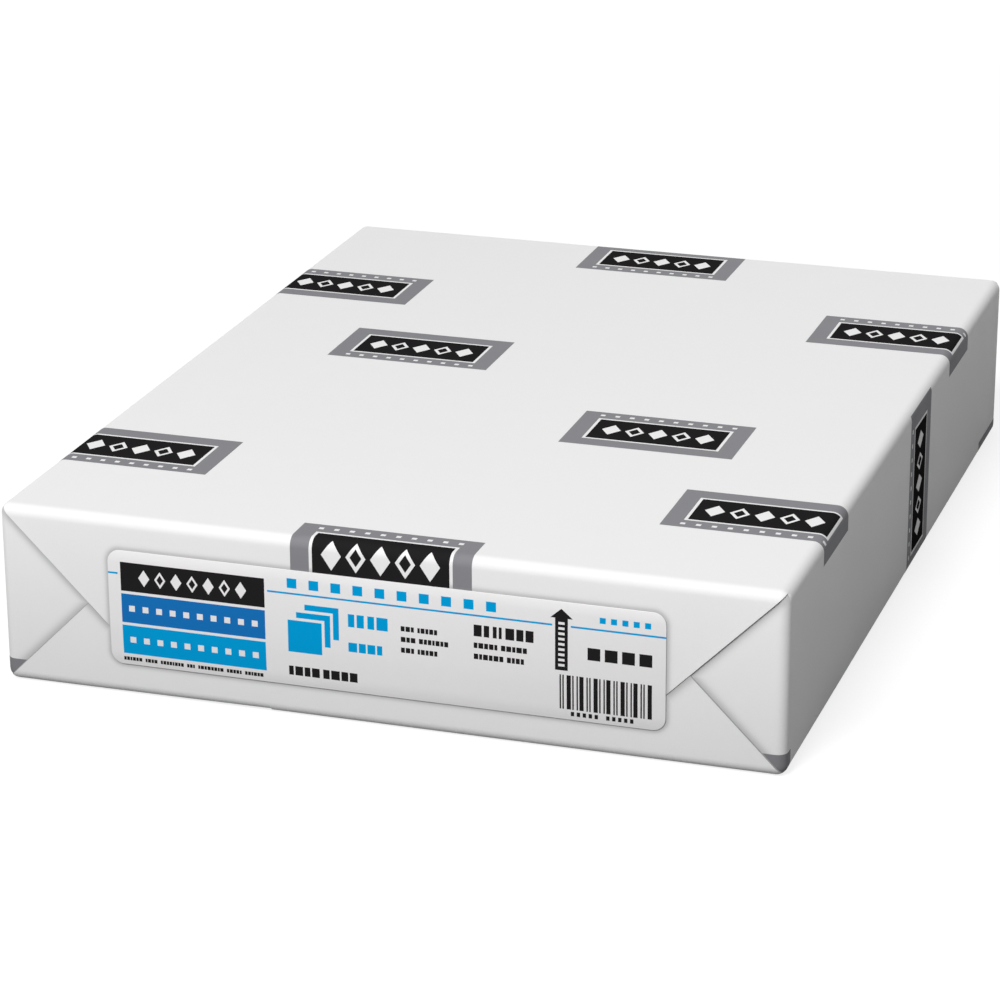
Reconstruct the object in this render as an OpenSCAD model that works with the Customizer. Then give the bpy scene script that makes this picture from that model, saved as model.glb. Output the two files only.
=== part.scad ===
// A wrapped ream of letter-size sheets: a sealed block of paper with envelope folds at both
// ends, a long lap seam underneath, a printed wrapper and a pasted label on the front end.
// The front end faces -Y, the ream rests on the plane Z = 0, and the origin is the middle of
// its underside. All lengths are in millimetres.

/* [Ream] */
// Width of the wrapped ream, across the short edge of the sheets
ream_w = 217.5; // [200:0.5:300]
// Length of the wrapped ream, along the long edge of the sheets
ream_l = 285; // [250:0.5:430]
// Height of the stack in its wrapper
ream_h = 51; // [44:0.5:70]

/* [Wrapper edges] */
// Rounding of the four long edges, where the wrapper turns over the stack
long_edge_r = 3; // [1.5:0.25:4]
// Rounding of the top and bottom edges at both ends
end_edge_r = 3; // [1.5:0.25:4]
// Rounding of the four upright corners
corner_r = 3.2; // [1.5:0.1:4]

/* [End folds] */
// How far a folded edge stands above the layer under it
fold_step = 0.3; // [0.15:0.05:0.6]
// Depth of the outer flap, folded down from the top
top_flap_d = 38; // [32:0.5:42]
// Depth of the flap under it, folded up from the underside
bottom_flap_d = 36; // [30:0.5:42]

/* [Lap seam] */
// Step at the outer edge of the lap seam on the underside
lap_step = 0.3; // [0.1:0.05:0.6]
// Distance of that edge from the middle of the underside
lap_offset = 32; // [15:1:60]
// Width over which the paper beside the lap eases down to the resting plane
lap_ease = 60; // [30:1:62]

/* [End label] */
// Width of the pasted label
label_w = 154; // [120:0.5:165]
// Height of the label
label_h = 32.6; // [28:0.2:38]
// Rounding of its corners
label_r = 3.5; // [1:0.25:6]
// Thickness of the label with its paste
label_t = 0.2; // [0.2:0.05:0.4]

/* [Printed repeat] */
// Spacing of the repeat's columns round the wrapper
column_pitch = 44.65; // [40:0.05:60]
// Number of its rows along the wrapper
row_count = 6; // [3:1:7]
// Distance from the rear end to the middle of the rear row
rear_margin = 14.3; // [8:0.1:30]
// How far past the front edge the middle of the front row lies
front_turn = 2.6; // [0:0.1:8]
// Length of one printed mark
mark_w = 50; // [40:0.5:60]
// Height of one printed mark
mark_h = 28; // [20:0.5:32]
// Width of the grey border round a mark
border_w = 5.2; // [3:0.1:7]
// Bare line between the border and the black bar
keyline = 0.9; // [0.4:0.1:1.5]
// Thickness that stands for a layer of ink, let in flush with the paper
ink_t = 0.1; // [0.08:0.01:0.15]

/* [Label print] */
// Margin between the label's side edges and its print
print_margin = 3.6; // [2:0.1:6]
// Length of the banded colour block at the label's left
block_w = 41; // [30:0.5:44]
// Height of each of its three bands
band_h = 8.2; // [6:0.1:8.6]
// Bare line between two bands
band_gap = 0.8; // [0.4:0.1:1.2]
// Height of the thin rule above the label's lower edge
rule_y = 25.8; // [25:0.1:26.4]
// Thickness of that rule
rule_t = 0.5; // [0.3:0.1:0.8]
// Side of the heading's blocks
heading_side = 2.7; // [2:0.1:3.6]
// Spacing of the heading's blocks
heading_pitch = 6.1; // [5:0.1:6.6]
// Width of one sheet in the sheet-set sign
sheet_w = 9.5; // [7:0.5:10]
// Height of one sheet in that sign
sheet_h = 9; // [7:0.5:9.5]
// Offset from one sheet of the sign to the next
sheet_step = 2.4; // [1.8:0.1:2.6]
// Length of the arrow
arrow_l = 17; // [14:0.5:19]
// Width of the arrow's shaft
arrow_w = 3.4; // [2:0.1:4]
// Width of the arrow's head
arrow_head_w = 6; // [5:0.1:8]
// Height of the arrow's head
arrow_head_l = 2.6; // [2:0.1:4]
// Height of the bar code's lines
code_h = 9.6; // [7:0.1:11]
// Width of the thinnest line of the bar code
code_unit = 0.38; // [0.3:0.01:0.42]
// Side of the four squares above the bar code
square_side = 3.4; // [2.4:0.1:3.8]

/* [Hidden] */
$fn = 64;
// Margin by which a cutting shape runs past what it cuts
past = 2;
// How far the flaps' solids reach in from the ends, past the rounded edges
flap_root = 9;
// Columns in one repeat round the wrapper
repeat_columns = 4;
row_pitch = (ream_l - rear_margin + front_turn) / (row_count - 1);
// The marks that turn over the lower edges end this far above the resting plane
print_floor = 0.4;
front_y = -ream_l / 2;
label_bottom = (ream_h - label_h) / 2;
label_left = -label_w / 2;
// Opening of a mark's border, and the black bar inside it
window_w = mark_w - 2 * border_w;
window_h = mark_h - 2 * border_w;
bar_w = window_w - 2 * keyline;
bar_h = window_h - 2 * keyline;
// The label's print, measured from its lower left corner
block_h = 3 * band_h + 2 * band_gap;
block_y = (label_h - block_h) / 2;
text_x = print_margin + block_w + 6.4;
text_right = label_w - print_margin;
heading_count = 10;
heading_y = rule_y + rule_t + 1.3;
sheet_y = 9.6;
note_x = text_x + sheet_w + 2 * sheet_step + 2.6;
detail_x = note_x + 14.6;
size_x = detail_x + 20;
arrow_x = text_right - 24.2;
arrow_top = label_h - 1.9;
code_lines = 21;
code_y = 2.9;
square_count = 4;
square_pitch = 4.6;
square_y = 17.4;

// Flat shapes

module rounded_rect(w, h, r) {
  square([w - 2 * r, h], center = true);
  square([w, h - 2 * r], center = true);
  for (x = [-1, 1], y = [-1, 1])
    translate([x * (w / 2 - r), y * (h / 2 - r)]) circle(r);
}

// Trapezoid of a flap folded from the top, seen from the front, with sides at 45 degrees
module flap_outline(depth) {
  polygon([[-ream_w / 2, ream_h], [ream_w / 2, ream_h],
           [ream_w / 2 - depth, ream_h - depth], [-ream_w / 2 + depth, ream_h - depth]]);
}

// Wrapped block

// Block with rounded edges, whose ends are moved in by inset and whose skin is grown by grow
module soft_block(inset = 0, grow = 0) {
  w = ream_w + 2 * grow;
  l = ream_l - 2 * inset + 2 * grow;
  h = ream_h + 2 * grow;
  translate([0, 0, ream_h / 2])
    intersection() {
      rotate([90, 0, 0])
        linear_extrude(l + past, center = true) rounded_rect(w, h, long_edge_r + grow);
      rotate([90, 0, 90])
        linear_extrude(w + past, center = true) rounded_rect(l, h, end_edge_r + grow);
      linear_extrude(h + past, center = true) rounded_rect(w, l, corner_r + grow);
    }
}

// Both ends of the ream, seen through a flat outline
module at_both_ends() {
  for (side = [-1, 1])
    translate([0, side * (ream_l / 2 - flap_root / 2), 0])
      rotate([90, 0, 0])
        linear_extrude(flap_root + past, center = true) children();
}

module from_below() {
  translate([0, ream_h, 0]) mirror([0, 1, 0]) children();
}

// Paper left of the lap seam, which lies one layer higher than the seam's edge
module lap_relief() {
  rotate([90, 0, 0])
    linear_extrude(ream_l + past, center = true)
      polygon([[-lap_offset, -past], [-lap_offset, lap_step],
               [-lap_offset - lap_ease, 0], [-lap_offset - lap_ease, -past]]);
}

module wrapped_ream() {
  color("whitesmoke")
    difference() {
      union() {
        // Sheets, tube and side flaps
        soft_block(inset = 2 * fold_step);
        // Flaps folded up from the underside
        intersection() {
          soft_block(inset = fold_step);
          at_both_ends() from_below() flap_outline(bottom_flap_d);
        }
        // Flaps folded down over them
        intersection() {
          soft_block();
          at_both_ends() flap_outline(top_flap_d);
        }
      }
      lap_relief();
      for (on_top = [true, false])
        ink_recess(on_top) {
          grey_borders(on_top);
          black_bars(on_top);
        }
    }
}

// Printed repeat, worked out flat and laid round the block

// A flat length from the middle of the top face, over an edge of radius r, gives the reach
// out from the middle and the drop below the top
function arc_length(r) = r * PI / 2;
function arc_angle(s, flat, r) = (s - flat) / r * 180 / PI;
function reach(s, half, r) =
  s <= half - r ? s
  : s <= half - r + arc_length(r) ? half - r + r * sin(arc_angle(s, half - r, r))
  : half;
function drop(s, half, r) =
  s <= half - r ? 0
  : s <= half - r + arc_length(r) ? r - r * cos(arc_angle(s, half - r, r))
  : s - half + 2 * r - arc_length(r);

// Room that a printed rectangle takes on the top face and on what it turns down over
module top_region(u, v, w, h) {
  x0 = sign(u - w / 2) * reach(abs(u - w / 2), ream_w / 2, long_edge_r);
  x1 = sign(u + w / 2) * reach(abs(u + w / 2), ream_w / 2, long_edge_r);
  y0 = sign(v - h / 2) * reach(abs(v - h / 2), ream_l / 2, end_edge_r);
  y1 = sign(v + h / 2) * reach(abs(v + h / 2), ream_l / 2, end_edge_r);
  down = max(2 * ink_t, drop(abs(u) + w / 2, ream_w / 2, long_edge_r),
             drop(abs(v) + h / 2, ream_l / 2, end_edge_r));
  left = x0 <= -ream_w / 2 + long_edge_r ? x0 - past : x0;
  right = x1 >= ream_w / 2 - long_edge_r ? x1 + past : x1;
  front = y0 <= -ream_l / 2 + end_edge_r ? y0 - past : y0;
  rear = y1 >= ream_l / 2 - end_edge_r ? y1 + past : y1;
  translate([left, front, ream_h - down])
    cube([right - left, rear - front, down + past]);
}

// The same for a rectangle whose middle lies on a side face, on the right of the ream
module side_region(u, v, w, h) {
  low = max(print_floor, ream_h - drop(u + w / 2, ream_w / 2, long_edge_r));
  high = ream_h - drop(u - w / 2, ream_w / 2, long_edge_r);
  inward = max(long_edge_r, abs(v) + h / 2 - ream_l / 2 + corner_r);
  if (high > low)
    translate([ream_w / 2 - inward, v - h / 2, low])
      cube([inward + past, h, high - low]);
}

// Column that a row starts on: the rows step on by two columns and by one in turn
function row_column(row) = ceil(row * 3 / 2) % repeat_columns;

// Every printed rectangle of one size, one for each mark of the repeat
module printed_rects(w, h, on_top) {
  for (row = [0 : row_count - 1], turn = [-2 : 1]) {
    u = (row_column(row) + turn * repeat_columns) * column_pitch;
    v = ream_l / 2 - rear_margin - row * row_pitch;
    centred_on_top = abs(u) < ream_w / 2;
    if (on_top && centred_on_top) top_region(u, v, w, h);
    if (!on_top && !centred_on_top && u > 0) side_region(u, v, w, h);
    if (!on_top && !centred_on_top && u < 0) mirror([1, 0, 0]) side_region(-u, v, w, h);
  }
}

module grey_borders(on_top) {
  difference() {
    printed_rects(mark_w, mark_h, on_top);
    printed_rects(window_w, window_h, on_top);
  }
}

module black_bars(on_top) {
  printed_rects(bar_w, bar_h, on_top);
}

// Layer of the wrapper that the print lies on: the outer flaps, or the side flaps
function print_inset(on_top) = on_top ? 0 : 2 * fold_step;

// Room for the ink of the given areas. What the label or a flap covers is left out
module ink_recess(on_top) {
  difference() {
    children();
    soft_block(print_inset(on_top), -ink_t);
    if (on_top) on_label(-past, 2 * past) label_outline();
    if (!on_top) at_both_ends() from_below() flap_outline(bottom_flap_d);
  }
}

module wrapper_print_grey() {
  color("gray")
    for (on_top = [true, false])
      intersection() {
        soft_block(print_inset(on_top));
        ink_recess(on_top) grey_borders(on_top);
      }
}

module wrapper_print_black() {
  color("black")
    for (on_top = [true, false])
      intersection() {
        soft_block(print_inset(on_top));
        ink_recess(on_top) black_bars(on_top);
      }
}

// End label and its print, drawn from the label's lower left corner

// A flat outline on the front end, from height above it and thickness thick
module on_label(height, thickness) {
  translate([label_left, front_y - height, label_bottom])
    rotate([90, 0, 0]) linear_extrude(thickness) children();
}

module label_outline() {
  translate([label_w / 2, label_h / 2]) rounded_rect(label_w, label_h, label_r);
}

module end_label() {
  color("white")
    difference() {
      on_label(0, label_t) label_outline();
      on_label(label_t - ink_t, ink_t + past) {
        cyan_print();
        blue_print();
        black_print();
      }
    }
}

// Ink let into the label, in a flat outline
module label_ink() {
  on_label(label_t - ink_t, ink_t)
    intersection() {
      label_outline();
      children();
    }
}

module bar(x, y, w, h) {
  translate([x, y]) square([w, h]);
}

// One of the colour block's bands, counted from the lowest
module band(number) {
  bar(print_margin, block_y + number * (band_h + band_gap), block_w, band_h);
}

// Row of equal blocks, spaced by pitch
module blocks(x, y, w, h, pitch, count) {
  for (i = [0 : count - 1]) bar(x + i * pitch, y, w, h);
}

// Line of words shown as plain bars, whose lengths are listed
function word_start(lengths, gap, i) =
  i == 0 ? 0 : word_start(lengths, gap, i - 1) + lengths[i - 1] + gap;
module words(x, y, h, lengths, gap = 1) {
  for (i = [0 : len(lengths) - 1])
    bar(x + word_start(lengths, gap, i), y, lengths[i], h);
}

// Three sheets, each offset from the one before it, with a bare line round the front ones
module sheet_set() {
  for (i = [0 : 2])
    translate([text_x + i * sheet_step, sheet_y + i * sheet_step])
      difference() {
        square([sheet_w, sheet_h]);
        if (i > 0)
          translate([-sheet_step - past, -sheet_step - past])
            square([sheet_w + past + band_gap, sheet_h + past + band_gap]);
      }
}

module arrow() {
  translate([arrow_x, arrow_top])
    polygon([[0, 0], [arrow_head_w / 2, -arrow_head_l], [arrow_w / 2, -arrow_head_l],
             [arrow_w / 2, -arrow_l], [-arrow_w / 2, -arrow_l],
             [-arrow_w / 2, -arrow_head_l], [-arrow_head_w / 2, -arrow_head_l]]);
}

// Lines of the bar code: one to three units wide, one or two units apart
function code_width(i) = code_unit * (1 + (i * i + 2 * i) % 3);
function code_space(i) = code_unit * (1 + (i * 5 + 2) % 4 % 2);
function code_start(i) =
  i == 0 ? 0 : code_start(i - 1) + code_width(i - 1) + code_space(i - 1);
module bar_code() {
  length = code_start(code_lines - 1) + code_width(code_lines - 1);
  for (i = [0 : code_lines - 1])
    bar(text_right - length + code_start(i), code_y, code_width(i), code_h);
}

module cyan_print() {
  band(0);
  bar(0, rule_y, print_margin - band_gap, rule_t);
  bar(print_margin + block_w + band_gap, rule_y,
      arrow_x - arrow_w / 2 - 2 * band_gap - print_margin - block_w, rule_t);
  bar(arrow_x + arrow_w / 2 + band_gap, rule_y,
      label_w - arrow_x - arrow_w / 2 - band_gap, rule_t);
  blocks(text_x, heading_y, heading_side, heading_side, heading_pitch, heading_count);
  sheet_set();
  words(note_x, sheet_y + sheet_h, 3.6, [4.4, 5.6]);
  words(note_x, sheet_y + 2, 2.6, [9.4]);
  blocks(text_right - 14, heading_y + 0.3, 1.6, 1.6, 3, 5);
}

module blue_print() {
  band(1);
}

module black_print() {
  band(2);
  words(text_x, code_y, 2.6, [8.6, 9.6]);
  for (line = [0 : 2])
    words(detail_x, sheet_y + 3.6 + line * 3, 1.4, line == 1 ? [4, 8] : [3.6, 5.4]);
  words(size_x, 20.3, 3.2, [4.2, 2.4, 7.6]);
  words(size_x, 17, 1.5, [6.4, 7]);
  words(size_x, 13.9, 1.5, [8, 4.6]);
  arrow();
  blocks(text_right - square_side - (square_count - 1) * square_pitch, square_y,
         square_side, square_side, square_pitch, square_count);
  bar_code();
}

module label_print_cyan() {
  color("deepskyblue") label_ink() cyan_print();
}

module label_print_blue() {
  color("royalblue") label_ink() blue_print();
}

module label_print_black() {
  color("black") label_ink() black_print();
}

wrapped_ream();
end_label();
wrapper_print_grey();
wrapper_print_black();
label_print_cyan();
label_print_blue();
label_print_black();
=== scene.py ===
import math

import bmesh
import bpy
from mathutils import Matrix, Vector, noise


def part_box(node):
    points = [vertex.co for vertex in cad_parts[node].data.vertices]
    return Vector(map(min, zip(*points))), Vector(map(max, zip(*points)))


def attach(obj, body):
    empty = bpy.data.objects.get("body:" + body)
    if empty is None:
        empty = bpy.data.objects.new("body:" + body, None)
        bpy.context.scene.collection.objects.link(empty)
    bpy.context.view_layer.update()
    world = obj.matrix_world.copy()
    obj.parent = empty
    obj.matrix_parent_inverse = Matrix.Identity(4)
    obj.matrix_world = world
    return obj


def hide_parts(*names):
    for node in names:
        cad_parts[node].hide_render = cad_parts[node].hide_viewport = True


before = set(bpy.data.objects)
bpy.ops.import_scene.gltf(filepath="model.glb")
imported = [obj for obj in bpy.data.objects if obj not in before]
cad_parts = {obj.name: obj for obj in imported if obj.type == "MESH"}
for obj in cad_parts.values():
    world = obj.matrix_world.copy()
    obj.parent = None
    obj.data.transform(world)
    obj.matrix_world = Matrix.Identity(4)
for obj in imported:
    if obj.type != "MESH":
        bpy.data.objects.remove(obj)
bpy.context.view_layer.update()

# Sizes, in metres

MM = 0.001
TOUCHING = 0.001 * MM
SQRT2 = math.sqrt(2)
SHARP_ANGLE = 32
ream_low, ream_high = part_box("wrapped_ream")
REAM_W = ream_high.x - ream_low.x
REAM_L = ream_high.y - ream_low.y
REAM_H = ream_high.z - ream_low.z

# Wrapper
EDGE_R = 3 * MM
EDGE_SEGMENTS = 8
EDGE_SUPPORT = 0.4 * MM
PAPER_CELL = 6 * MM
PAPER_UNDER_BOX = 0.04 * MM
WAVE_DEPTH = 0.09 * MM
BROAD_WAVES = 17
FINE_WAVES = 46
FINE_SHIFT = (7, 3, 5)
FINE_SHARE = 0.14

# Ink
INK_UNDER_BOX = 0.005 * MM
INK_THICKNESS = 0.06 * MM

# End folds
TOP_FLAP = 38 * MM
FOLD_STEP = 0.22 * MM
STEP_WIDTH = 0.24 * MM
LIP = 0.06 * MM
LIP_REACH = 2 * MM
TUCK = 0.1 * MM
TUCK_REACH = 2 * MM
END_BLEND = 1 * MM
FOLD_CUTS = [d * MM for d in (-6, -2.6, -1.1, -0.4, -0.12, 0.12, 0.4, 1, 2, 4, 7)]

# Lap seam on the underside
LAP_EDGE = -32 * MM
LAP_EASE = 60 * MM
LAP_STEP = 0.3 * MM

# Printed repeat
COLUMN_PITCH = 44.65 * MM
REPEAT_COLUMNS = 4
ROW_COUNT = 6
REAR_MARGIN = 14.3 * MM
FRONT_TURN = 2.6 * MM
MARK_W = 50 * MM
MARK_H = 28 * MM
BORDER = 5.2 * MM
KEYLINE = 0.9 * MM
WINDOW_W = MARK_W - 2 * BORDER
WINDOW_H = MARK_H - 2 * BORDER
BAR_W = WINDOW_W - 2 * KEYLINE
BAR_H = WINDOW_H - 2 * KEYLINE
DOT_COUNT = 10
DOT_PITCH = 4.3 * MM
DOT_SIDE = 1.4 * MM
DIAMOND_COUNT = 5
DIAMOND_PITCH = 6.8 * MM
DIAMOND_W = 5.6 * MM
DIAMOND_H = 8.4 * MM
RING_SHARE = 0.58
FRONT_CORNER_TOP = 6.4 * MM
FRONT_CORNER_REACH = 5.5 * MM

# End label
label_low, label_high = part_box("end_label")
LABEL_W = label_high.x - label_low.x
LABEL_H = label_high.z - label_low.z
LABEL_MIDDLE_Z = (label_low.z + label_high.z) / 2
LABEL_R = 3.5 * MM
LABEL_CORNER_SEGMENTS = 12
LABEL_UNDER_BOX = 0.03 * MM
LABEL_THICKNESS = 0.6 * MM
LABEL_BEVEL = 0.05 * MM
RIM_ANGLE = 1
LABEL_DIP = 0.25 * MM
DIP_TOP = 12 * MM
DIP_CUT = 1 * MM

# Label print, in millimetres from the label's lower left corner

PRINT_MARGIN = 3.6
BLOCK_W = 41
BAND_H = 8.2
BAND_GAP = 0.8
BLOCK_Y = 3.2
PIP_SIDE = 1.7
PIP_PITCH = 3.9
PIP_COUNT = 10
BAND_DIAMOND_W = 3.2
BAND_DIAMOND_H = 4.8
BAND_DIAMOND_PITCH = 4.6
BAND_DIAMOND_COUNT = 7
FINE_PRINT_Y = 1.2
TEXT_X = 51
TEXT_RIGHT = 150.4
RULE_Y = 25.8
RULE_T = 0.5
RULE_RIGHT = 154
HEADING_Y = 27.6
SHEET_Y = 9.6
SHEET_W = 9.5
SHEET_H = 9
SHEET_STEP = 2.4
SHEET_COUNT = 3
NOTE_X = 67.9
DETAIL_X = 82.5
SIZE_X = 102.5
ARROW_X = 126.2
ARROW_TOP = 30.7
ARROW_W = 3.4
SHAFT_L = 14.4
SHAFT_BARS = 9
SHAFT_BAR_PITCH = 1.45
HEAD_W = 6
HEAD_L = 2.6
CODE_Y = 2.9
CODE_H = 9.6
CODE_UNIT = 0.38
CODE_LINES = 21
CODE_BLOCKS_Y = 1.1
CODE_BLOCK_W = 0.9
CODE_BLOCK_H = 1.2
CODE_BLOCK_PITCH = 1.6
CODE_BLOCK_COUNT = 5
CODE_BLOCK_STARTS = (3, 12.5)
SQUARES_Y = 17.4
LETTER_WIDTHS = (1, 0.8, 0.9, 0.6, 1, 0.75)
LETTER_GAP = 0.18
LETTER_PITCH = 0.85
WORD_GAP = 1

# Rows of squares on the label: left, foot, side, pitch and count
CYAN_ROWS = (
    (TEXT_X, HEADING_Y, 2.7, 6.1, 10),
    (TEXT_RIGHT - 14, HEADING_Y + 0.3, 1.6, 3, 5))
BLACK_ROWS = (
    (TEXT_RIGHT - 17.2, SQUARES_Y, 3.4, 4.6, 4),)

# Lines of words on the label: left, foot, height and the length of each word
CYAN_LINES = (
    (NOTE_X, SHEET_Y + 9, 3.6, (4.4, 5.6)),
    (NOTE_X, SHEET_Y + 2, 2.6, (9.4,)))
BLACK_LINES = (
    (PRINT_MARGIN, FINE_PRINT_Y, 1, (5.2, 3.4, 6.6, 2.2, 7.2, 4.2, 5.2)),
    (TEXT_X, CODE_Y, 2.6, (8.6, 9.6)),
    (DETAIL_X, SHEET_Y + 3.6, 1.4, (3.6, 5.4)),
    (DETAIL_X, SHEET_Y + 6.6, 1.4, (4, 8)),
    (DETAIL_X, SHEET_Y + 9.6, 1.4, (3.6, 5.4)),
    (SIZE_X, 20.3, 3.2, (4.2, 2.4, 7.6)),
    (SIZE_X, 17, 1.5, (6.4, 7)),
    (SIZE_X, 13.9, 1.5, (8, 4.6)))

# Camera
CAMERA_PLACE = (301.749 * MM, -966.303 * MM, 387.689 * MM)
CAMERA_YAW = 18.0835
CAMERA_PITCH = 20.2685
CAMERA_ROLL = -0.2535
CAMERA_LENS = 130.861

# Light
SKY_LIGHT = 0.325
KEY_PLACE = (-0.34, -2.38, 2.46)
KEY_SIZE = 1.1
KEY_POWER = 98
BACK_PLACE = (-0.25, 2.7, 0.36)
BACK_SIZE = 1.2
BACK_POWER = 9
LAMP_AIM = (0, -0.03, 0.03)
FLOOR_UNDER = 0.02 * MM
FLOOR_HALF = 4
FLOOR_LIT = (0.3, 0.3, 0.3, 1)
FLOOR_SEEN = (0.26, 0.26, 0.26, 1)
GLOW_NEAR = (0.5, 0.8)
GLOW_FAR = (1.4, 1.0)

# Shade of the paper close beside something: its reach, strength and the dark line of the gap
TOP_FLAP_SHADE = (1.55 * MM, 0.4, 0.2)
BOTTOM_FLAP_SHADE = (1.55 * MM, 0.35, 0.25)
LABEL_SHADE = (1 * MM, 0.4, 0.2)
FOOT_SHADE = (0.7 * MM, 0.55, 0)
LAP_SHADE = (1.2 * MM, 0.4, 0.25)
LAP_SHADE_TOP = 0.7 * MM
END_START = REAM_L / 2 - 0.8 * EDGE_R
SHADE_COLOUR = (0.05, 0.05, 0.055, 1)
# Colour that the painted shade multiplies into the paper at the foot
FOOT_PAINTED_SHADE_COLOUR = (0.8, 0.8, 0.8, 1)

# Paper grain: scale, detail and roughness of each pattern
FIBRES = (1900, 4.0, 0.62)
SPECKS = (5200, 1.0, 0.5)
CLOUDS = (95, 3.0, 0.55)
FIBRE_STRETCH = (1.0, 0.45, 1.0)
CLOUD_SHARE = 0.55
SPECK_SHARE = 0.3
ROUGHNESS_SPREAD = 0.22
BUMP_STRENGTH = 0.6
PAPER_ROUGHNESS = 0.5

# Colours
WRAPPER_WHITE = (0.862, 0.86, 0.861)
LABEL_WHITE = (0.868, 0.857, 0.859)
GREY = (0.242, 0.242, 0.258)
BLACK = (0.0175, 0.0165, 0.0175)
CYAN = (0.001, 0.35, 0.72)
BLUE = (0.01, 0.17, 0.5)


# Mesh helpers

def piece_from(bm, name, material):
    """A finished piece from a bmesh, with smooth shading that breaks at sharp edges."""
    mesh = bpy.data.meshes.new(name)
    bm.to_mesh(mesh)
    bm.free()
    mesh.materials.append(material)
    mesh.shade_smooth()
    mesh.set_sharp_from_angle(angle=math.radians(SHARP_ANGLE))
    piece = bpy.data.objects.new(name, mesh)
    bpy.context.scene.collection.objects.link(piece)
    return piece


def fitted_piece(bm, name, material, node):
    """A piece that takes the place of a node of the construction."""
    piece = piece_from(bm, name, material)
    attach(piece, "root")
    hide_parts(node)


def cut(bm, place, normal, faces=None, outer=False, inner=False):
    """Cuts the chosen faces along a plane, and clears one side of it where asked."""
    chosen = bm.faces[:] if faces is None else faces
    edges = {edge for face in chosen for edge in face.edges}
    verts = {vert for face in chosen for vert in face.verts}
    bmesh.ops.bisect_plane(bm, geom=[*verts, *edges, *chosen], plane_co=place, plane_no=normal,
                           clear_outer=outer, clear_inner=inner)


def faces_where(bm, test):
    return [face for face in bm.faces if test(face.calc_center_median())]


def delete_faces(bm, test):
    bmesh.ops.delete(bm, geom=faces_where(bm, test), context="FACES")


def add_to(target, bm):
    """Adds one bmesh to another and frees it."""
    passing = bpy.data.meshes.new("passing")
    bm.to_mesh(passing)
    target.from_mesh(passing)
    bpy.data.meshes.remove(passing)
    bm.free()


def thicken(bm):
    """Gives a sheet a second side and a rim, and returns the second side's points."""
    grown = bmesh.ops.extrude_face_region(bm, geom=bm.faces[:])["geom"]
    return {item for item in grown if isinstance(item, bmesh.types.BMVert)}


def even_places(low, high, step):
    count = math.ceil((high - low) / step)
    return [low + (high - low) * i / count for i in range(count + 1)]


def row_places(count, pitch):
    """Middles of a row of equal shapes round zero."""
    return [(i - (count - 1) / 2) * pitch for i in range(count)]


# How the paper lies on the stack

def ramp(distance, width):
    """0 to 1 over a width round zero."""
    share = min(1.0, max(0.0, distance / width + 0.5))
    return share * share * (3 - 2 * share)


def fade(distance, reach):
    return math.exp(-max(0.0, distance) / reach)


def outward(place):
    """Direction straight out of the rounded block at a point on its skin."""
    core = Vector((min(max(place.x, EDGE_R - REAM_W / 2), REAM_W / 2 - EDGE_R),
                   min(max(place.y, EDGE_R - REAM_L / 2), REAM_L / 2 - EDGE_R),
                   min(max(place.z, EDGE_R), REAM_H - EDGE_R)))
    return (place - core).normalized()


def inside_bottom_flap(place):
    return (REAM_W / 2 - abs(place.x) - place.z) / SQRT2


def inside_top_flap(place):
    from_top = REAM_H - place.z
    return min((REAM_W / 2 - abs(place.x) - from_top) / SQRT2, TOP_FLAP - from_top)


def layer_depth(place):
    """How far the paper at an end lies in from the outermost fold."""
    in_top = inside_top_flap(place)
    in_bottom = inside_bottom_flap(place)
    top = LIP * (1 - fade(in_top, LIP_REACH))
    bottom = FOLD_STEP + LIP * (1 - fade(in_bottom, LIP_REACH))
    side = 2 * FOLD_STEP + TUCK * fade(min(-in_top, -in_bottom), TUCK_REACH)
    over_side = ramp(in_bottom, STEP_WIDTH)
    under = bottom * over_side + side * (1 - over_side)
    over = ramp(in_top, STEP_WIDTH)
    return top * over + under * (1 - over)


def wave(place):
    """Shallow waves of the paper, from 0 to 1."""
    broad = noise.noise(place * BROAD_WAVES)
    fine = noise.noise(place * FINE_WAVES + Vector(FINE_SHIFT))
    return min(1.0, max(0.0, 0.5 + 0.5 * broad + FINE_SHARE * fine))


def lap_rise(x):
    """Rise of the paper beside the lap seam on the underside."""
    beside = LAP_EDGE - x
    return LAP_STEP * max(0.0, 1 - max(0.0, beside) / LAP_EASE) * ramp(beside, STEP_WIDTH)


def settle(place, under):
    """A point of the plain block, moved to where the paper lies, under the block's skin."""
    out = outward(place)
    settled = place - out * (under + WAVE_DEPTH * wave(place))
    at_end = ramp(abs(place.y) - (REAM_L / 2 - EDGE_R - END_BLEND / 2), END_BLEND)
    settled.y -= math.copysign(layer_depth(place) * at_end, place.y)
    settled.z += lap_rise(place.x) * max(0.0, -out.z)
    return settled


# Wrapper

def cut_folds(bm, end):
    """Cuts an end along its folds and beside them."""
    def at_end(c):
        return c.y * end > REAM_L / 2 - EDGE_R

    for side in (-1, 1):
        for corner_z, way in ((REAM_H, -1), (0, 1)):
            normal = Vector((side, 0, way)).normalized()
            for depth in FOLD_CUTS:
                place = Vector((side * REAM_W / 2, 0, corner_z)) - normal * depth
                cut(bm, place, normal, faces_where(bm, lambda c: at_end(c) and c.x * side > 0))
    for depth in FOLD_CUTS:
        cut(bm, (0, 0, REAM_H - TOP_FLAP + depth), (0, 0, 1),
            faces_where(bm, lambda c: (at_end(c) and c.z < REAM_H / 2
                                       and abs(c.x) < REAM_W / 2 - TOP_FLAP + depth + EDGE_R)))


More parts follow.
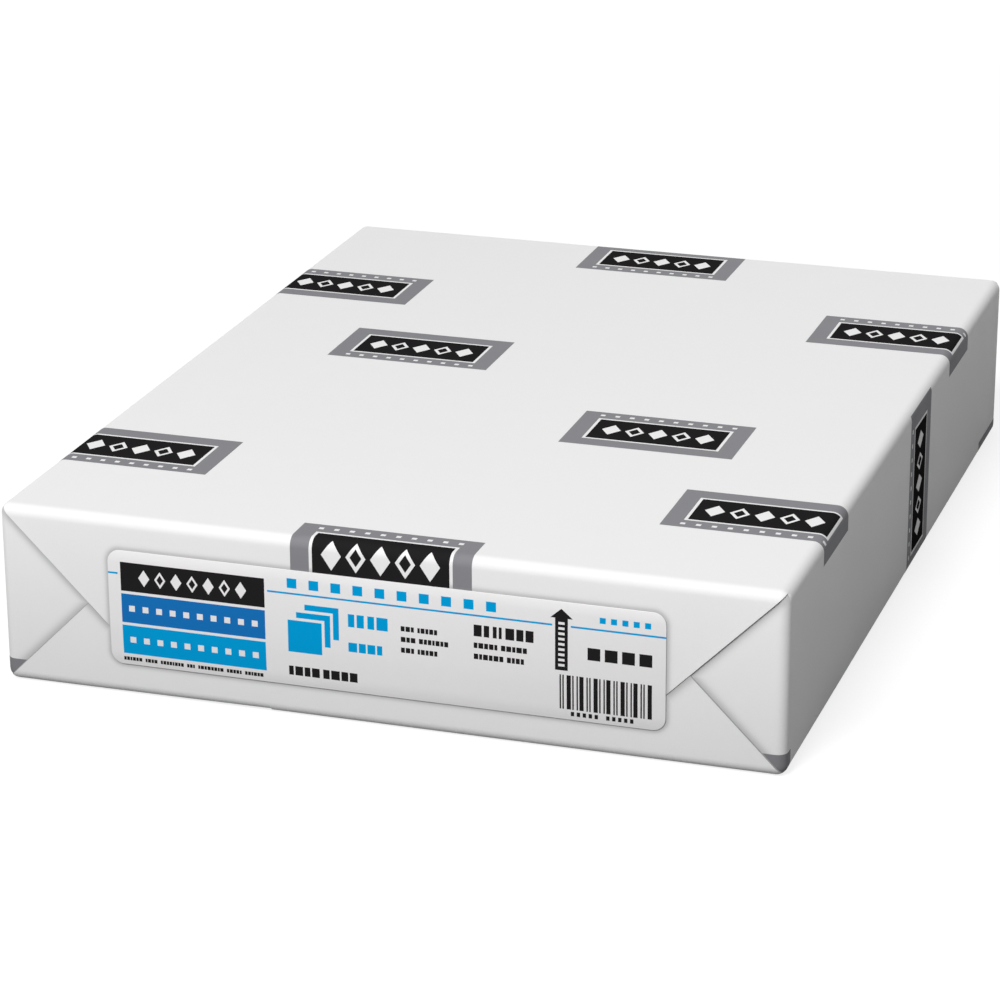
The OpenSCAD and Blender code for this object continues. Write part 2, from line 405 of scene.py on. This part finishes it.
def plain_block():
    """The rounded block with every cut that the paper needs, before it is settled."""
    bm = bmesh.new()
    bmesh.ops.create_cube(bm, size=1)
    bmesh.ops.scale(bm, vec=(REAM_W, REAM_L, REAM_H), verts=bm.verts)
    bmesh.ops.translate(bm, vec=(0, 0, REAM_H / 2), verts=bm.verts)
    bmesh.ops.bevel(bm, geom=bm.edges[:], offset=EDGE_R, segments=EDGE_SEGMENTS, profile=0.5,
                    affect="EDGES", material=-1)
    inset = EDGE_R + EDGE_SUPPORT
    for x in even_places(inset - REAM_W / 2, REAM_W / 2 - inset, PAPER_CELL):
        cut(bm, (x, 0, 0), (1, 0, 0))
    for y in even_places(inset - REAM_L / 2, REAM_L / 2 - inset, PAPER_CELL):
        cut(bm, (0, y, 0), (0, 1, 0))
    for z in even_places(inset, REAM_H - inset, PAPER_CELL):
        cut(bm, (0, 0, z), (0, 0, 1))
    for end in (-1, 1):
        cut_folds(bm, end)
    for side in (-1, 1):
        cut(bm, (LAP_EDGE + side * STEP_WIDTH / 2, 0, 0), (1, 0, 0),
            faces_where(bm, lambda c: c.z < EDGE_R))
    return bm


def wrapper_sheet(block):
    bm = block.copy()
    for vert in bm.verts:
        vert.co = settle(vert.co, PAPER_UNDER_BOX)
    return bm


# Flat shapes of print

def add_rectangle(bm, x, y, width, height):
    """A flat rectangle from its lower left corner."""
    new = bmesh.ops.create_grid(bm, x_segments=1, y_segments=1, size=0.5)["verts"]
    bmesh.ops.scale(bm, vec=(width, height, 1), verts=new)
    bmesh.ops.translate(bm, vec=(x + width / 2, y + height / 2, 0), verts=new)


def flat_sheet(width, height):
    bm = bmesh.new()
    add_rectangle(bm, -width / 2, -height / 2, width, height)
    return bm


def cut_rectangle(bm, x, y, width, height):
    """Takes a rectangle, given by its middle, out of a flat sheet."""
    for side in (-1, 1):
        cut(bm, (x + side * width / 2, 0, 0), (1, 0, 0))
        cut(bm, (0, y + side * height / 2, 0), (0, 1, 0))
    delete_faces(bm, lambda c: abs(c.x - x) < width / 2 and abs(c.y - y) < height / 2)


def cut_squares(bm, y, side, pitch, count):
    """Takes a row of squares out of a flat sheet."""
    for x in row_places(count, pitch):
        cut_rectangle(bm, x, y, side, side)


def cut_diamonds(bm, width, height, pitch, count):
    """Takes a row of diamonds out of a flat sheet, every second one only as a ring."""
    for x in row_places(count + 1, pitch):
        cut(bm, (x, 0, 0), (1, 0, 0))
    for i, x in enumerate(row_places(count, pitch)):
        ring = i % 2 == 1
        for share in (1, RING_SHARE) if ring else (1,):
            for across in (-1, 1):
                for up in (-1, 1):
                    cut(bm, (x + across * share * width / 2, 0, 0), (across * height, up * width, 0),
                        faces_where(bm, lambda c: abs(c.x - x) < pitch / 2))
        inner = RING_SHARE if ring else 0
        delete_faces(bm, lambda c: inner <= abs(c.x - x) / (width / 2) + abs(c.y) / (height / 2) < 1)


# Print on the wrapper, cut flat and laid round the block

def round_edge(s, half, height):
    """Across and up, at a length s from the middle of the top, over the edge and down."""
    way = math.copysign(1, s)
    s = abs(s)
    flat = half - EDGE_R
    arc = EDGE_R * math.pi / 2
    side = flat + arc + height - 2 * EDGE_R
    if s <= flat:
        return way * s, height
    if s <= flat + arc:
        angle = (s - flat) / EDGE_R
        return way * (flat + EDGE_R * math.sin(angle)), height - EDGE_R * (1 - math.cos(angle))
    if s <= side:
        return way * half, height - EDGE_R - (s - flat - arc)
    angle = min((s - side) / EDGE_R, math.pi / 2)
    return way * (flat + EDGE_R * math.cos(angle)), EDGE_R * (1 - math.sin(angle))


def lay(place):
    """A flat point laid on the block: x runs round the girth and y along the ream."""
    x, side_z = round_edge(place.x, REAM_W / 2, REAM_H)
    y, end_z = round_edge(place.y, REAM_L / 2, REAM_H)
    return Vector((x, y, min(side_z, end_z)))


def edge_places(half):
    """Flat lengths at which a sheet is cut so that it bends over the edges."""
    flat = half - EDGE_R
    arc = EDGE_R * math.pi / 2
    lower = flat + arc + REAM_H - 2 * EDGE_R
    steps = [arc * i / EDGE_SEGMENTS for i in range(EDGE_SEGMENTS + 1)]
    over = [flat + step for step in steps] + [lower + step for step in steps]
    return over + [-place for place in over]


def place_ink(bm, placed):
    """Gives a sheet of ink its thickness where a function of a point and a depth puts it."""
    inner = thicken(bm)
    for vert in bm.verts:
        under = INK_UNDER_BOX + INK_THICKNESS if vert in inner else INK_UNDER_BOX
        vert.co = placed(vert.co, under)
    bmesh.ops.recalc_face_normals(bm, faces=bm.faces)


def grey_border():
    """Flat border of a mark, with a row of bare dots along its upper side."""
    bm = flat_sheet(MARK_W, MARK_H)
    cut_squares(bm, (MARK_H - BORDER) / 2, DOT_SIDE, DOT_PITCH, DOT_COUNT)
    cut_rectangle(bm, 0, 0, WINDOW_W, WINDOW_H)
    return bm


def black_bar():
    """Flat bar of a mark, with a row of bare diamonds."""
    bm = flat_sheet(BAR_W, BAR_H)
    cut_diamonds(bm, DIAMOND_W, DIAMOND_H, DIAMOND_PITCH, DIAMOND_COUNT)
    return bm


def mark_places():
    """Middle of each mark of the repeat, laid flat, and -1 where it is the other way up."""
    row_pitch = (REAM_L - REAR_MARGIN + FRONT_TURN) / (ROW_COUNT - 1)
    for row in range(ROW_COUNT):
        start = math.ceil(row * 3 / 2) % REPEAT_COLUMNS
        for turn in (-2, -1, 0, 1):
            u = (start + turn * REPEAT_COLUMNS) * COLUMN_PITCH
            if abs(u) < REAM_W / 2 + REAM_H:
                yield u, REAM_L / 2 - REAR_MARGIN - row * row_pitch, 1 if row % 2 else -1


def lay_marks(draw):
    """Every mark of the repeat, drawn flat by a function and laid on the wrapper."""
    ink = bmesh.new()
    for u, v, way in mark_places():
        mark = draw()
        bmesh.ops.scale(mark, vec=(way, way, 1), verts=mark.verts)
        bmesh.ops.translate(mark, vec=(u, v, 0), verts=mark.verts)
        for x in edge_places(REAM_W / 2) + even_places(u - MARK_W / 2, u + MARK_W / 2, PAPER_CELL):
            cut(mark, (x, 0, 0), (1, 0, 0))
        for y in edge_places(REAM_L / 2) + even_places(v - MARK_H / 2, v + MARK_H / 2, PAPER_CELL):
            cut(mark, (0, y, 0), (0, 1, 0))
        place_ink(mark, lambda place, under: settle(lay(place), under))
        add_to(ink, mark)
    return ink


def add_lower_corners(ink, block):
    """Grey print of the marks that turn under, where it shows at the foot of the corners."""
    rear_top = round_edge(REPEAT_COLUMNS * COLUMN_PITCH - MARK_W / 2, REAM_W / 2, REAM_H)[1]
    rear_end = round_edge(REAM_L / 2 - REAR_MARGIN + MARK_H / 2, REAM_L / 2, REAM_H)[0]
    for end, reach, top in ((-1, REAM_L / 2 - FRONT_CORNER_REACH, FRONT_CORNER_TOP),
                            (1, REAM_L / 2 - REAR_MARGIN - MARK_H / 2, rear_top)):
        bm = block.copy()
        cut(bm, (0, 0, top), (0, 0, 1), outer=True)
        cut(bm, (0, end * reach, 0), (0, end, 0), inner=True)
        if end > 0:
            cut(bm, (0, rear_end, 0), (0, 1, 0), outer=True)
        delete_faces(bm, lambda c: (inside_bottom_flap(c) > -STEP_WIDTH / 4 or c.z < TOUCHING
                                    or abs(c.x) < REAM_W / 2 - MARK_H))
        place_ink(bm, settle)
        add_to(ink, bm)


# Label and its print, drawn flat and stood up on the front end

def cut_dip(bm):
    """Cuts a flat sheet across where the foot of the label bends in to the lower flap."""
    for up in even_places(0, DIP_TOP, DIP_CUT):
        cut(bm, (0, up - LABEL_H / 2, 0), (0, 1, 0))


def stand_up(place, under):
    """A point of a flat sheet round the label's middle, stood up under the label's box."""
    above_foot = place.y + LABEL_H / 2
    dip = LABEL_DIP * (1 - ramp(above_foot - DIP_TOP / 2, DIP_TOP))
    return Vector((place.x, label_low.y + dip + under, LABEL_MIDDLE_Z + place.y))


def label_sheet():
    """The pasted sheet, with rounded corners and a softened rim."""
    bm = flat_sheet(LABEL_W, LABEL_H)
    bmesh.ops.bevel(bm, geom=bm.verts[:], offset=LABEL_R, segments=LABEL_CORNER_SEGMENTS,
                    profile=0.5, affect="VERTICES", material=-1)
    cut_dip(bm)
    back = thicken(bm)
    for vert in bm.verts:
        vert.co = stand_up(vert.co, LABEL_UNDER_BOX + (LABEL_THICKNESS if vert in back else 0))
    bmesh.ops.recalc_face_normals(bm, faces=bm.faces)
    rim = [edge for edge in bm.edges if (not back.intersection(edge.verts)
                                         and edge.calc_face_angle() > RIM_ANGLE)]
    bmesh.ops.bevel(bm, geom=rim, offset=LABEL_BEVEL, segments=2, profile=0.5, affect="EDGES",
                    material=-1)
    return bm


def add_row(bm, x, y, side, pitch, count):
    """A row of squares."""
    for i in range(count):
        add_rectangle(bm, x + i * pitch, y, side, side)


def add_word(bm, x, y, height, length, first):
    """A word shown as a run of plain blocks of uneven width."""
    count = max(2, round(length / (LETTER_PITCH * height)))
    widths = [LETTER_WIDTHS[(first + i) % len(LETTER_WIDTHS)] for i in range(count)]
    gap = LETTER_GAP * height
    unit = (length - gap * (count - 1)) / sum(widths)
    for width in widths:
        add_rectangle(bm, x, y, width * unit, height)
        x += width * unit + gap


def add_words(bm, x, y, height, lengths):
    """A line of words of the given lengths."""
    for i, length in enumerate(lengths):
        add_word(bm, x, y, height, length, round(y) + 2 * i)
        x += length + WORD_GAP


def add_band(bm, number, cut_pattern):
    """One of the colour block's bands, counted from the lowest, with bare shapes cut out."""
    band = flat_sheet(BLOCK_W, BAND_H)
    cut_pattern(band)
    middle_y = BLOCK_Y + number * (BAND_H + BAND_GAP) + BAND_H / 2
    bmesh.ops.translate(band, vec=(PRINT_MARGIN + BLOCK_W / 2, middle_y, 0), verts=band.verts)
    add_to(bm, band)


def cut_pips(band):
    cut_squares(band, 0, PIP_SIDE, PIP_PITCH, PIP_COUNT)


def cut_band_diamonds(band):
    cut_diamonds(band, BAND_DIAMOND_W, BAND_DIAMOND_H, BAND_DIAMOND_PITCH, BAND_DIAMOND_COUNT)


def add_rule(bm):
    """The thin rule across the label, open round the colour block and the arrow."""
    after_block = PRINT_MARGIN + BLOCK_W + BAND_GAP
    before_arrow = ARROW_X - ARROW_W / 2 - BAND_GAP
    after_arrow = ARROW_X + ARROW_W / 2 + BAND_GAP
    for start, end in ((0, PRINT_MARGIN - BAND_GAP), (after_block, before_arrow),
                       (after_arrow, RULE_RIGHT)):
        add_rectangle(bm, start, RULE_Y, end - start, RULE_T)


def add_sheet_set(bm):
    """Sheets, each offset from the one before it, with a bare line round the front ones."""
    for i in range(SHEET_COUNT):
        sheet = bmesh.new()
        add_rectangle(sheet, 0, 0, SHEET_W, SHEET_H)
        if i:
            hidden_w = SHEET_W - SHEET_STEP + BAND_GAP
            hidden_h = SHEET_H - SHEET_STEP + BAND_GAP
            cut(sheet, (hidden_w, 0, 0), (1, 0, 0))
            cut(sheet, (0, hidden_h, 0), (0, 1, 0))
            delete_faces(sheet, lambda c: c.x < hidden_w and c.y < hidden_h)
        bmesh.ops.translate(sheet, vec=(TEXT_X + i * SHEET_STEP, SHEET_Y + i * SHEET_STEP, 0),
                            verts=sheet.verts)
        add_to(bm, sheet)


def add_arrow(bm):
    """An upright arrow, with a run of small bare bars up its shaft."""
    shaft = flat_sheet(ARROW_W, SHAFT_L)
    for y in row_places(SHAFT_BARS, SHAFT_BAR_PITCH):
        cut_rectangle(shaft, 0, y, ARROW_W / 2, SHAFT_BAR_PITCH / 2)
    bmesh.ops.translate(shaft, vec=(ARROW_X, ARROW_TOP - HEAD_L - SHAFT_L / 2, 0), verts=shaft.verts)
    head = bmesh.new()
    add_rectangle(head, ARROW_X - HEAD_W / 2, ARROW_TOP - HEAD_L, HEAD_W, HEAD_L)
    for side in (-1, 1):
        cut(head, (ARROW_X, ARROW_TOP, 0), (side * HEAD_L, HEAD_W / 2, 0), outer=True)
    add_to(bm, shaft)
    add_to(bm, head)


def add_bar_code(bm):
    """Upright lines one to three units wide, with small blocks under them."""
    lines = []
    start = 0
    for i in range(CODE_LINES):
        width = CODE_UNIT * (1 + (i * i + 2 * i) % 3)
        lines.append((start, width))
        start += width + CODE_UNIT * (1 + (i * 5 + 2) % 4 % 2)
    left = TEXT_RIGHT - sum(lines[-1])
    for start, width in lines:
        add_rectangle(bm, left + start, CODE_Y, width, CODE_H)
    for first in CODE_BLOCK_STARTS:
        for i in range(CODE_BLOCK_COUNT):
            add_rectangle(bm, left + first + CODE_BLOCK_PITCH * i, CODE_BLOCKS_Y,
                          CODE_BLOCK_W, CODE_BLOCK_H)


def add_rows_and_lines(bm, rows, lines):
    for row in rows:
        add_row(bm, *row)
    for line in lines:
        add_words(bm, *line)


def cyan_print():
    bm = bmesh.new()
    add_band(bm, 0, cut_pips)
    add_rule(bm)
    add_sheet_set(bm)
    add_rows_and_lines(bm, CYAN_ROWS, CYAN_LINES)
    return bm


def blue_print():
    bm = bmesh.new()
    add_band(bm, 1, cut_pips)
    return bm


def black_print():
    bm = bmesh.new()
    add_band(bm, 2, cut_band_diamonds)
    add_rows_and_lines(bm, BLACK_ROWS, BLACK_LINES)
    add_arrow(bm)
    add_bar_code(bm)
    return bm


def label_ink(bm):
    """Brings flat print from millimetres to its place on the label."""
    bmesh.ops.scale(bm, vec=(MM, MM, MM), verts=bm.verts)
    bmesh.ops.translate(bm, vec=(-LABEL_W / 2, -LABEL_H / 2, 0), verts=bm.verts)
    cut_dip(bm)
    place_ink(bm, stand_up)
    return bm


# Shader helpers

def set_or_link(tree, socket, value):
    if isinstance(value, bpy.types.NodeSocket):
        tree.links.new(value, socket)
    else:
        socket.default_value = value


def maths(tree, operation, *values):
    node = tree.nodes.new("ShaderNodeMath")
    node.operation = operation
    for socket, value in zip(node.inputs, values):
        set_or_link(tree, socket, value)
    return node.outputs[0]


def axes_of(tree, place):
    node = tree.nodes.new("ShaderNodeSeparateXYZ")
    tree.links.new(place, node.inputs[0])
    return node.outputs


def mix_colours(tree, share, first, second, blend="MIX"):
    node = tree.nodes.new("ShaderNodeMix")
    node.data_type = "RGBA"
    node.blend_type = blend
    colours = [socket for socket in node.inputs if socket.type == "RGBA"]
    for socket, value in ((node.inputs[0], share), (colours[0], first), (colours[1], second)):
        set_or_link(tree, socket, value)
    return next(socket for socket in node.outputs if socket.type == "RGBA")


def noise_texture(tree, place, scale, detail, roughness):
    node = tree.nodes.new("ShaderNodeTexNoise")
    tree.links.new(place, node.inputs["Vector"])
    node.inputs["Scale"].default_value = scale
    node.inputs["Detail"].default_value = detail
    node.inputs["Roughness"].default_value = roughness
    return node.outputs["Fac"]


def new_group(name, inputs, outputs):
    tree = bpy.data.node_groups.new(name, "ShaderNodeTree")
    for label, kind, value in inputs:
        socket = tree.interface.new_socket(label, in_out="INPUT", socket_type=kind)
        if value is not None:
            socket.default_value = value
    for label, kind in outputs:
        tree.interface.new_socket(label, in_out="OUTPUT", socket_type=kind)
    return tree, tree.nodes.new("NodeGroupInput").outputs, tree.nodes.new("NodeGroupOutput").inputs


def use_group(tree, group, values):
    node = tree.nodes.new("ShaderNodeGroup")
    node.node_tree = group
    for name, value in values.items():
        set_or_link(tree, node.inputs[name], value)
    return node.outputs


def paper_grain_group():
    """Fibres and cloudiness of paper: a tinted colour, a height and a roughness."""
    tree, given, made = new_group(
        "paper_grain",
        [("Place", "NodeSocketVector", None), ("Colour", "NodeSocketColor", (0.8, 0.8, 0.8, 1)),
         ("Mottle", "NodeSocketFloat", 0.03), ("Roughness", "NodeSocketFloat", 0.5)],
        [("Colour", "NodeSocketColor"), ("Height", "NodeSocketFloat"),
         ("Roughness", "NodeSocketFloat")])
    stretch = tree.nodes.new("ShaderNodeMapping")
    stretch.inputs["Scale"].default_value = FIBRE_STRETCH
    tree.links.new(given["Place"], stretch.inputs["Vector"])
    fibres = noise_texture(tree, stretch.outputs["Vector"], *FIBRES)
    specks = noise_texture(tree, given["Place"], *SPECKS)
    clouds = noise_texture(tree, given["Place"], *CLOUDS)
    grain_tone_and_foot_shade = maths(tree, "ADD", maths(tree, "MULTIPLY", clouds, CLOUD_SHARE),
                 maths(tree, "MULTIPLY", fibres, 1 - CLOUD_SHARE))
    shift = maths(tree, "MULTIPLY", maths(tree, "SUBTRACT", grain_tone_and_foot_shade, 0.5), given["Mottle"])
    tint = tree.nodes.new("ShaderNodeHueSaturation")
    tree.links.new(given["Colour"], tint.inputs["Color"])
    tree.links.new(maths(tree, "ADD", shift, 1.0), tint.inputs["Value"])
    tree.links.new(tint.outputs["Color"], made["Colour"])
    height = maths(tree, "ADD", maths(tree, "MULTIPLY", fibres, 1 - SPECK_SHARE),
                   maths(tree, "MULTIPLY", specks, SPECK_SHARE))
    tree.links.new(height, made["Height"])
    rough = maths(tree, "MULTIPLY", maths(tree, "SUBTRACT", clouds, 0.5), ROUGHNESS_SPREAD)
    tree.links.new(maths(tree, "ADD", rough, given["Roughness"]), made["Roughness"])
    return tree


def foot_painted_shade_group():
    """How much painted shade darkens the ream from the top down to the foot."""
    tree, given, made = new_group("foot_painted_shade", [("Place", "NodeSocketVector", None)],
                                  [("Painted shade", "NodeSocketFloat")])
    height = axes_of(tree, given["Place"])["Z"]
    tree.links.new(maths(tree, "SUBTRACT", 1.0, maths(tree, "DIVIDE", height, REAM_H)), made["Painted shade"])
    return tree


def close_shade_group():
    """How dark a surface is close beside something that lies on it, by its distance."""
    tree, given, made = new_group(
        "close_shade",
        [("Distance", "NodeSocketFloat", 1.0), ("Reach", "NodeSocketFloat", 0.001),
         ("Strength", "NodeSocketFloat", 0.3), ("Gap", "NodeSocketFloat", 0.3)],
        [("Shade", "NodeSocketFloat")])
    beside = maths(tree, "GREATER_THAN", given["Distance"], -STEP_WIDTH / 2)
    in_gap = maths(tree, "LESS_THAN", given["Distance"], STEP_WIDTH / 2)
    ratio = maths(tree, "DIVIDE", given["Distance"], given["Reach"])
    squared = maths(tree, "MULTIPLY", ratio, ratio)
    falling = maths(tree, "EXPONENT", maths(tree, "MULTIPLY", squared, -1.0))
    soft = maths(tree, "MULTIPLY", falling, given["Strength"])
    shade = maths(tree, "ADD", soft, maths(tree, "MULTIPLY", in_gap, given["Gap"]))
    tree.links.new(maths(tree, "MULTIPLY", shade, beside), made["Shade"])
    return tree


def new_material(name, colour):
    material = bpy.data.materials.new(name)
    material.use_nodes = True
    material.diffuse_color = (*colour, 1)
    return material, material.node_tree, material.node_tree.nodes["Principled BSDF"].inputs


def paper_material(name, colour, mottle, relief, gloss):
    """Paper or ink on paper, whose colour, roughness and relief follow its fibres, with painted
    shade that darkens it towards the foot.
    """
    material, tree, shader = new_material(name, colour)
    place = tree.nodes.new("ShaderNodeTexCoord").outputs["Object"]
    grain = use_group(tree, PAPER_GRAIN, {"Place": place, "Colour": (*colour, 1), "Mottle": mottle,
                                          "Roughness": PAPER_ROUGHNESS})
    bump = tree.nodes.new("ShaderNodeBump")
    bump.inputs["Strength"].default_value = BUMP_STRENGTH
    bump.inputs["Distance"].default_value = relief
    tree.links.new(grain["Height"], bump.inputs["Height"])
    tree.links.new(bump.outputs["Normal"], shader["Normal"])
    tree.links.new(grain["Roughness"], shader["Roughness"])
    shader["Specular IOR Level"].default_value = gloss
    # Painted shade: the paper's colour is multiplied darker from the top of the ream down to its
    # foot
    grain_tone_and_foot_shade = use_group(tree, FOOT_PAINTED_SHADE, {"Place": place})["Painted shade"]
    paper_with_painted_shade = mix_colours(tree, grain_tone_and_foot_shade, grain["Colour"], FOOT_PAINTED_SHADE_COLOUR, "MULTIPLY")
    tree.links.new(paper_with_painted_shade, shader["Base Color"])
    return material, tree, shader, place, paper_with_painted_shade


def label_distance(tree, x, z):
    """Distance outside the label's rounded outline."""
    from_middle = maths(tree, "ABSOLUTE", maths(tree, "SUBTRACT", z, LABEL_MIDDLE_Z))
    over_x = maths(tree, "SUBTRACT", maths(tree, "ABSOLUTE", x), LABEL_W / 2 - LABEL_R)
    over_z = maths(tree, "SUBTRACT", from_middle, LABEL_H / 2 - LABEL_R)
    squares = [maths(tree, "POWER", maths(tree, "MAXIMUM", over, 0.0), 2.0)
               for over in (over_x, over_z)]
    return maths(tree, "SUBTRACT", maths(tree, "SQRT", maths(tree, "ADD", *squares)), LABEL_R)


def shade_beside(tree, distance, reach, strength, gap):
    return use_group(tree, CLOSE_SHADE, {"Distance": distance, "Reach": reach, "Strength": strength,
                                         "Gap": gap})["Shade"]


def fold_shade(tree, place):
    """Shade beside the end flaps and the lap seam, round the label and at the foot, 0 to 1."""
    x, y, z = axes_of(tree, place)
    across = maths(tree, "SUBTRACT", REAM_W / 2, maths(tree, "ABSOLUTE", x))
    from_top = maths(tree, "SUBTRACT", REAM_H, z)
    past_side = maths(tree, "DIVIDE", maths(tree, "SUBTRACT", from_top, across), SQRT2)
    past_top_flap = maths(tree, "MAXIMUM", past_side, maths(tree, "SUBTRACT", from_top, TOP_FLAP))
    past_bottom_flap = maths(tree, "DIVIDE", maths(tree, "SUBTRACT", z, across), SQRT2)
    beside_top = shade_beside(tree, past_top_flap, *TOP_FLAP_SHADE)
    beside_bottom = shade_beside(tree, past_bottom_flap, *BOTTOM_FLAP_SHADE)
    bare_of_top = maths(tree, "GREATER_THAN", past_top_flap, -STEP_WIDTH / 2)
    folds = maths(tree, "MAXIMUM", beside_top, maths(tree, "MULTIPLY", beside_bottom, bare_of_top))
    round_label = shade_beside(tree, label_distance(tree, x, z), *LABEL_SHADE)
    label = maths(tree, "MULTIPLY", round_label, maths(tree, "LESS_THAN", y, 0.0))
    foot = shade_beside(tree, z, *FOOT_SHADE)
    at_end = maths(tree, "GREATER_THAN", maths(tree, "ABSOLUTE", y), END_START)
    ends = maths(tree, "MAXIMUM", maths(tree, "MAXIMUM", folds, label), foot)
    ends = maths(tree, "MULTIPLY", ends, at_end)
    beside_lap = shade_beside(tree, maths(tree, "SUBTRACT", LAP_EDGE, x), *LAP_SHADE)
    lap = maths(tree, "MULTIPLY", beside_lap, maths(tree, "LESS_THAN", z, LAP_SHADE_TOP))
    return maths(tree, "MAXIMUM", ends, lap)


def wrapper_material():
    material, tree, shader, place, colour = paper_material("wrapper_paper", WRAPPER_WHITE, 0.04,
                                                           0.03 * MM, 0.02)
    shaded = mix_colours(tree, fold_shade(tree, place), colour, SHADE_COLOUR, "MULTIPLY")
    tree.links.new(shaded, shader["Base Color"])
    return material


# Camera, stage and light

def make_camera():
    data = bpy.data.cameras.new("camera")
    data.lens = CAMERA_LENS
    data.sensor_width = 36
    data.clip_start = 0.01
    data.clip_end = 50
    camera = bpy.data.objects.new("camera", data)
    bpy.context.scene.collection.objects.link(camera)
    turn = (Matrix.Rotation(math.radians(CAMERA_YAW), 4, "Z")
            @ Matrix.Rotation(math.radians(90 - CAMERA_PITCH), 4, "X")
            @ Matrix.Rotation(math.radians(CAMERA_ROLL), 4, "Z"))
    camera.matrix_world = Matrix.Translation(CAMERA_PLACE) @ turn
    bpy.context.scene.camera = camera


def sees_background(tree):
    """1 where the camera, a reflection or clear material looks at the stage."""
    path = tree.nodes.new("ShaderNodeLightPath").outputs
    seen = maths(tree, "MAXIMUM", path["Is Camera Ray"], path["Is Glossy Ray"])
    return maths(tree, "MAXIMUM", seen, path["Is Transmission Ray"])


def floor_glow(tree):
    """Own brightness of the floor where it is looked at, which grows to full white far away."""
    away = tree.nodes.new("ShaderNodeVectorMath")
    away.operation = "LENGTH"
    tree.links.new(tree.nodes.new("ShaderNodeTexCoord").outputs["Object"], away.inputs[0])
    glow = tree.nodes.new("ShaderNodeMapRange")
    tree.links.new(away.outputs["Value"], glow.inputs["Value"])
    for end, (distance, brightness) in (("Min", GLOW_NEAR), ("Max", GLOW_FAR)):
        glow.inputs["From " + end].default_value = distance
        glow.inputs["To " + end].default_value = brightness
    return glow.outputs["Result"]


def make_floor():
    """A pale floor that looks white to the camera and keeps a faint shadow."""
    bm = bmesh.new()
    bmesh.ops.create_grid(bm, x_segments=1, y_segments=1, size=FLOOR_HALF)
    bmesh.ops.translate(bm, vec=(0, 0, -FLOOR_UNDER), verts=bm.verts)
    material, tree, shader = new_material("pale_floor", (0.9, 0.9, 0.9))
    seen = sees_background(tree)
    tree.links.new(mix_colours(tree, seen, FLOOR_LIT, FLOOR_SEEN), shader["Base Color"])
    shader["Emission Color"].default_value = (1, 1, 1, 1)
    tree.links.new(maths(tree, "MULTIPLY", seen, floor_glow(tree)), shader["Emission Strength"])
    shader["Roughness"].default_value = 1
    shader["Specular IOR Level"].default_value = 0
    piece_from(bm, "floor", material)


def make_world():
    """Soft white light from all round, and a white background."""
    world = bpy.data.worlds.new("studio")
    bpy.context.scene.world = world
    world.use_nodes = True
    tree = world.node_tree
    background = tree.nodes["Background"].inputs
    background["Color"].default_value = (1, 1, 1, 1)
    extra = maths(tree, "MULTIPLY", sees_background(tree), 1 - SKY_LIGHT)
    tree.links.new(maths(tree, "ADD", extra, SKY_LIGHT), background["Strength"])


def make_lamp(name, place, size, power):
    data = bpy.data.lights.new(name, "AREA")
    data.shape = "DISK"
    data.size = size
    data.energy = power
    lamp = bpy.data.objects.new(name, data)
    bpy.context.scene.collection.objects.link(lamp)
    way = Vector(LAMP_AIM) - Vector(place)
    lamp.matrix_world = Matrix.Translation(place) @ way.to_track_quat("-Z", "Y").to_matrix().to_4x4()


# Build

bpy.context.scene.view_settings.view_transform = "Standard"
make_camera()
make_world()
make_floor()
make_lamp("key", KEY_PLACE, KEY_SIZE, KEY_POWER)
make_lamp("back_fill", BACK_PLACE, BACK_SIZE, BACK_POWER)

PAPER_GRAIN = paper_grain_group()
FOOT_PAINTED_SHADE = foot_painted_shade_group()
CLOSE_SHADE = close_shade_group()
WRAPPER_PAPER = wrapper_material()
LABEL_PAPER = paper_material("label_paper", LABEL_WHITE, 0.03, 0.02 * MM, 0.02)[0]
GREY_INK = paper_material("grey_ink", GREY, 0.08, 0.02 * MM, 0.01)[0]
BLACK_INK = paper_material("black_ink", BLACK, 0.25, 0.02 * MM, 0.0)[0]
CYAN_INK = paper_material("cyan_ink", CYAN, 0.06, 0.02 * MM, 0.01)[0]
BLUE_INK = paper_material("blue_ink", BLUE, 0.06, 0.02 * MM, 0.01)[0]

block = plain_block()
borders = lay_marks(grey_border)
add_lower_corners(borders, block)
fitted_piece(wrapper_sheet(block), "wrapper", WRAPPER_PAPER, "wrapped_ream")
fitted_piece(borders, "wrapper_borders", GREY_INK, "wrapper_print_grey")
fitted_piece(lay_marks(black_bar), "wrapper_bars", BLACK_INK, "wrapper_print_black")
fitted_piece(label_sheet(), "pasted_label", LABEL_PAPER, "end_label")
fitted_piece(label_ink(cyan_print()), "label_cyan", CYAN_INK, "label_print_cyan")
fitted_piece(label_ink(blue_print()), "label_blue", BLUE_INK, "label_print_blue")
fitted_piece(label_ink(black_print()), "label_black", BLACK_INK, "label_print_black")
block.free()
